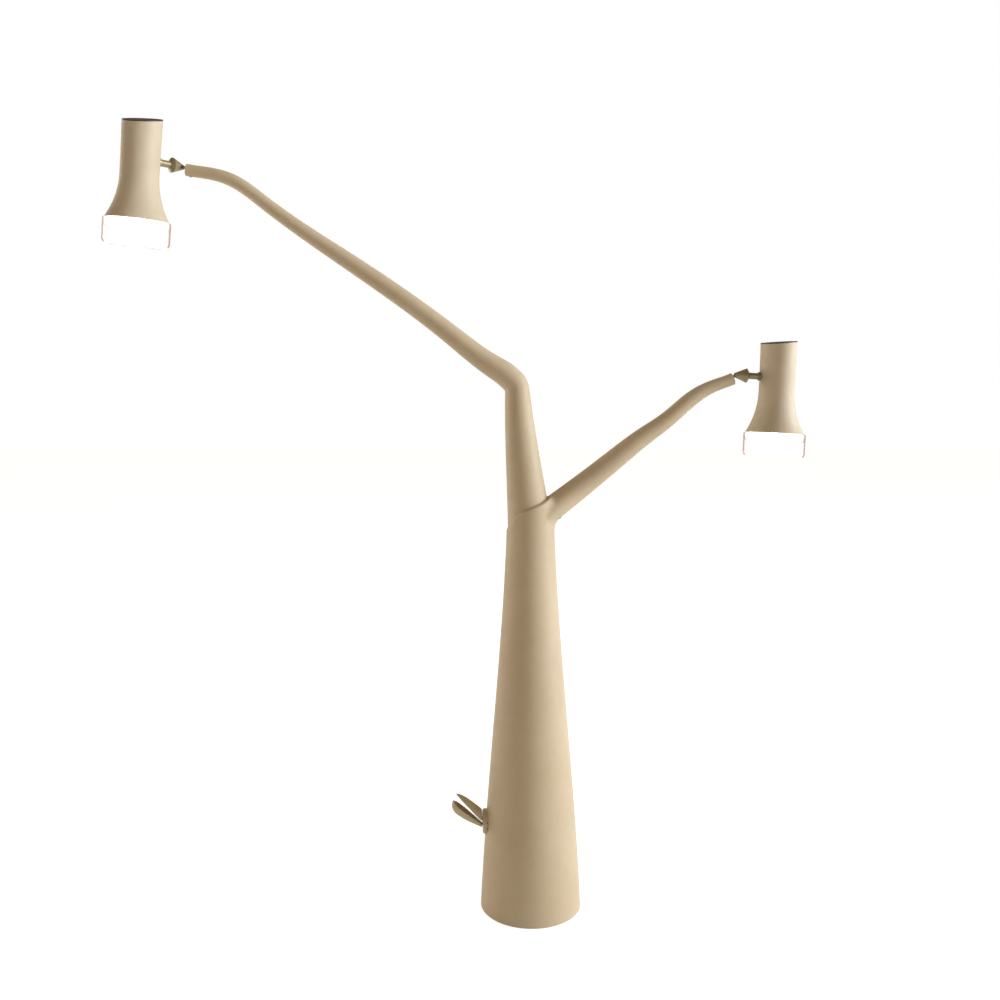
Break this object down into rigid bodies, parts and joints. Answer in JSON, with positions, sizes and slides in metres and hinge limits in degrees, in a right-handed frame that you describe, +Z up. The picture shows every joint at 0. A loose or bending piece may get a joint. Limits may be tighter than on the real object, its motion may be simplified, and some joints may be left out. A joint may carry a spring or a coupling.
{
  "type": "floor lamp",
  "caption": "Tree-shaped floor lamp: covered trunk that splits into a long and a short arm, each with a flared, swivelling spotlight; small leaf levers near the foot.",
  "frame": {"origin": "centre of the foot, on the floor", "axes": "+Z up; +X towards the short branch, -X towards the long arm and the leaves; -Y towards the viewer"},
  "size_m": [1.8074, 0.2686, 2.0221],
  "materials": {
    "cover_leather": "fine matte grain",
    "shade_paint": "satin beige paint",
    "cap_paint": "satin beige paint",
    "vent_black": "dark matte paint",
    "joint_bronze": "satin olive bronze",
    "leaf_paint": "satin paint",
    "small_screw": "satin",
    "bright_steel": "zinc plated",
    "mast_steel": "black powder coat",
    "casting": "as cast",
    "base_steel": "satin paint",
    "ballast_iron": "rough",
    "foot_rubber": "matte",
    "driver_case": "satin",
    "board": "matte",
    "inlet_plastic": "matte",
    "sensor_plastic": "matte",
    "hub_aluminium": "satin",
    "ring_aluminium": "satin",
    "holder_plastic": "matte",
    "reflector_white": "white paint",
    "bulb_glass": "opal",
    "clear_glass": "polished, clear"
  },
  "bodies": {
    "stand": {"foot_ring": "foot_rubber", "base_plate": "base_steel", "ballast": "ballast_iron", "base_screws": "bright_steel", "cover_screws": "bright_steel", "mast": "mast_steel", "mast_screws": "bright_steel", "trunk_shell": "cover_leather", "driver_tray": "mast_steel", "driver_case": "driver_case", "driver_lid": "driver_case", "driver_screws": "bright_steel", "driver_board": "board", "cable_inlet": "inlet_plastic", "cable_inlet_nut": "inlet_plastic", "leaf_boss": "leaf_paint", "leaf_boss_nut": "inlet_plastic", "leaf_pins": "bright_steel", "upper_sensor": "sensor_plastic", "lower_sensor": "sensor_plastic", "fork_casting": "casting", "fork_grub_screws": "bright_steel", "branch_tube": "mast_steel", "arm_tube": "mast_steel", "upper_trunk_shell": "cover_leather", "branch_end_cap": "cap_paint", "arm_end_cap": "cap_paint", "branch_screw": "small_screw", "arm_screw": "small_screw"},
    "upper_leaf": {"upper_leaf": "leaf_paint"},
    "lower_leaf": {"lower_leaf": "leaf_paint"},
    "left_neck": {"left_neck": "joint_bronze"},
    "left_knuckle": {"left_knuckle": "joint_bronze", "left_hinge_pin": "bright_steel", "left_stem": "joint_bronze", "left_stem_nut": "bright_steel"},
    "left_head": {"left_shade": "shade_paint", "left_shade_cap": "vent_black", "left_swivel_hub": "hub_aluminium", "left_holder_bridge": "hub_aluminium", "left_lamp_holder": "holder_plastic", "left_bulb": "bulb_glass", "left_reflector": "reflector_white", "left_glass": "clear_glass", "left_glass_ring": "ring_aluminium"},
    "right_neck": {"right_neck": "joint_bronze"},
    "right_knuckle": {"right_knuckle": "joint_bronze", "right_hinge_pin": "bright_steel", "right_stem": "joint_bronze", "right_stem_nut": "bright_steel"},
    "right_head": {"right_shade": "shade_paint", "right_shade_cap": "vent_black", "right_swivel_hub": "hub_aluminium", "right_holder_bridge": "hub_aluminium", "right_lamp_holder": "holder_plastic", "right_bulb": "bulb_glass", "right_reflector": "reflector_white", "right_glass": "clear_glass", "right_glass_ring": "ring_aluminium"}
  },
  "joints": [
    {"name": "left_tip_swivel", "type": "hinge", "parent": "stand", "child": "left_neck", "pos_m": [-0.8833, 0, 1.91145], "axis": [-0.9903, 0, 0.1392], "range_deg": [-150, 150]},
    {"name": "left_knuckle_hinge", "type": "hinge", "parent": "left_neck", "child": "left_knuckle", "pos_m": [-0.89915, 0, 1.91368], "axis": [0.1372, -0.1669, 0.9764], "range_deg": [-96.6, 3.4]},
    {"name": "left_shade_swivel", "type": "hinge", "parent": "left_knuckle", "child": "left_head", "pos_m": [-0.97492, -0.07789, 1.91101], "axis": [-0.6971, -0.7165, -0.0245], "range_deg": [-160, 160]},
    {"name": "right_tip_swivel", "type": "hinge", "parent": "stand", "child": "right_neck", "pos_m": [0.53929, 0, 1.3817], "axis": [0.9397, 0, 0.342], "range_deg": [-150, 150]},
    {"name": "right_knuckle_hinge", "type": "hinge", "parent": "right_neck", "child": "right_knuckle", "pos_m": [0.55432, 0, 1.38717], "axis": [0, 1, 0], "range_deg": [-73, 27]},
    {"name": "right_shade_swivel", "type": "hinge", "parent": "right_knuckle", "child": "right_head", "pos_m": [0.66288, 0, 1.38148], "axis": [0.9986, 0, -0.0523], "range_deg": [-160, 160]},
    {"name": "upper_leaf_lever", "type": "hinge", "parent": "stand", "child": "upper_leaf", "pos_m": [-0.11514, 0, 0.226], "axis": [0, 1, 0], "range_deg": [-4, 4], "stiffness_Nm_per_rad": 8},
    {"name": "lower_leaf_lever", "type": "hinge", "parent": "stand", "child": "lower_leaf", "pos_m": [-0.11514, 0, 0.212], "axis": [0, 1, 0], "range_deg": [-4, 4], "stiffness_Nm_per_rad": 8}
  ]
}
